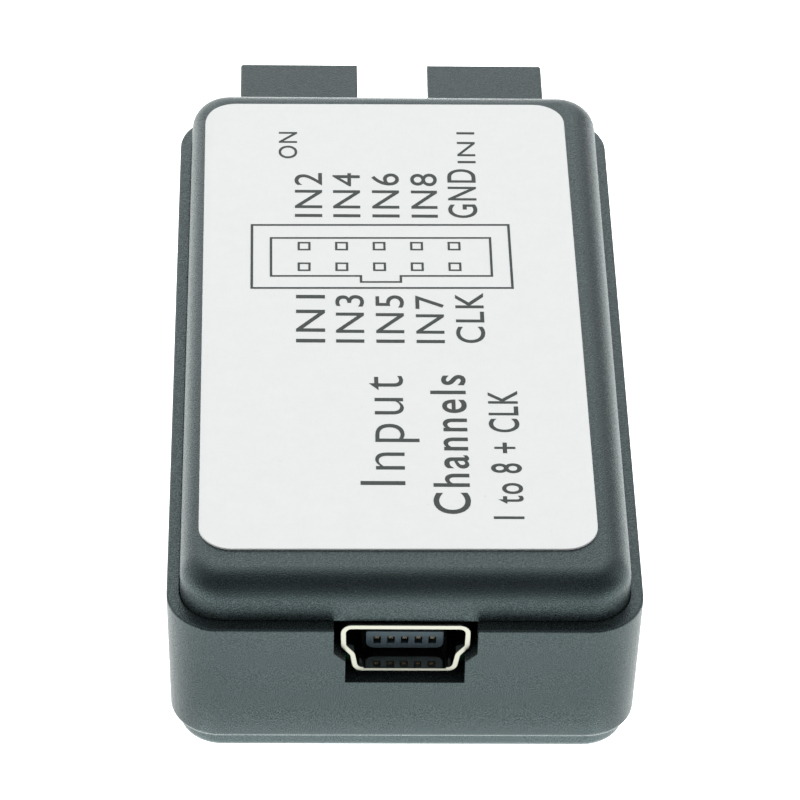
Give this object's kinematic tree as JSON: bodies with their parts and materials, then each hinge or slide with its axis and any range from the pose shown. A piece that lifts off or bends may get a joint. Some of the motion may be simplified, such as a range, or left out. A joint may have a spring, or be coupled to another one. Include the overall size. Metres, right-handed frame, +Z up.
{
  "type": "logic analyzer",
  "caption": "Pocket logic analyzer: black two-part moulded case with a paper label, a mini-B receptacle at one end and a shrouded pin header at the other.",
  "frame": {"origin": "centre of the flat face the case rests on", "axes": "+Z up out of the labelled cover, +Y towards the pin header, -Y towards the mini-B receptacle"},
  "size_m": [0.0282, 0.0554, 0.0135],
  "materials": {
    "case_plastic": "fine spark-textured black moulding",
    "cover_plastic": "fine spark-textured black moulding",
    "label_film": "matt off-white coated paper label",
    "board_laminate": "green solder resist over glass-epoxy laminate",
    "receptacle_steel": "nickel-plated steel stamping",
    "receptacle_plastic": "black high-temperature nylon",
    "gold_contacts": "gold-flashed contacts",
    "header_plastic": "black glass-filled nylon",
    "gold_pins": "gold-flashed square pins",
    "chip_epoxy": "moulded epoxy",
    "tinned_leads": "tin-plated lead frame",
    "crystal_base_plastic": "black moulded seat",
    "crystal_steel": "bright drawn steel can",
    "capacitor_ceramic": "fired tan ceramic",
    "resistor_glaze": "black glazed alumina",
    "tantalum_mould": "amber moulded epoxy",
    "fuse_laminate": "green laminate",
    "ferrite": "dark sintered ferrite",
    "red_lens": "tinted clear epoxy",
    "green_lens": "tinted clear epoxy",
    "led_base": "white laminate"
  },
  "bodies": {
    "lower_case": {"bottom_shell": "case_plastic"},
    "cover": {"top_cover": "cover_plastic", "top_label": "label_film"},
    "board": {"circuit_board": "board_laminate", "usb_shield": "receptacle_steel", "usb_insulator": "receptacle_plastic", "usb_contacts": "gold_contacts", "header_shroud": "header_plastic", "header_pins": "gold_pins", "controller_body": "chip_epoxy", "controller_leads": "tinned_leads", "memory_body": "chip_epoxy", "memory_leads": "tinned_leads", "regulator_body": "chip_epoxy", "regulator_leads": "tinned_leads", "crystal_base": "crystal_base_plastic", "crystal_can": "crystal_steel", "crystal_leads": "tinned_leads", "ceramic_capacitors": "capacitor_ceramic", "capacitor_terminals": "tinned_leads", "chip_resistors": "resistor_glaze", "resistor_terminals": "tinned_leads", "resistor_arrays": "resistor_glaze", "array_terminals": "tinned_leads", "bulk_capacitor": "tantalum_mould", "bulk_capacitor_terminals": "tinned_leads", "resettable_fuse": "fuse_laminate", "fuse_terminals": "tinned_leads", "ferrite_bead": "ferrite", "ferrite_terminals": "tinned_leads", "power_led": "red_lens", "channel_led": "green_lens", "led_bases": "led_base"}
  },
  "joints": [
    {"name": "cover_lift", "type": "slide", "parent": "lower_case", "child": "cover", "axis": [0, 0, 1], "range_m": [0, 0.03]},
    {"name": "board_lift", "type": "slide", "parent": "lower_case", "child": "board", "axis": [0, 0, 1], "range_m": [0, 0.015]}
  ],
  "couplings": [
    {"joint": "board_lift", "follows": "cover_lift", "ratio": 0.5}
  ]
}
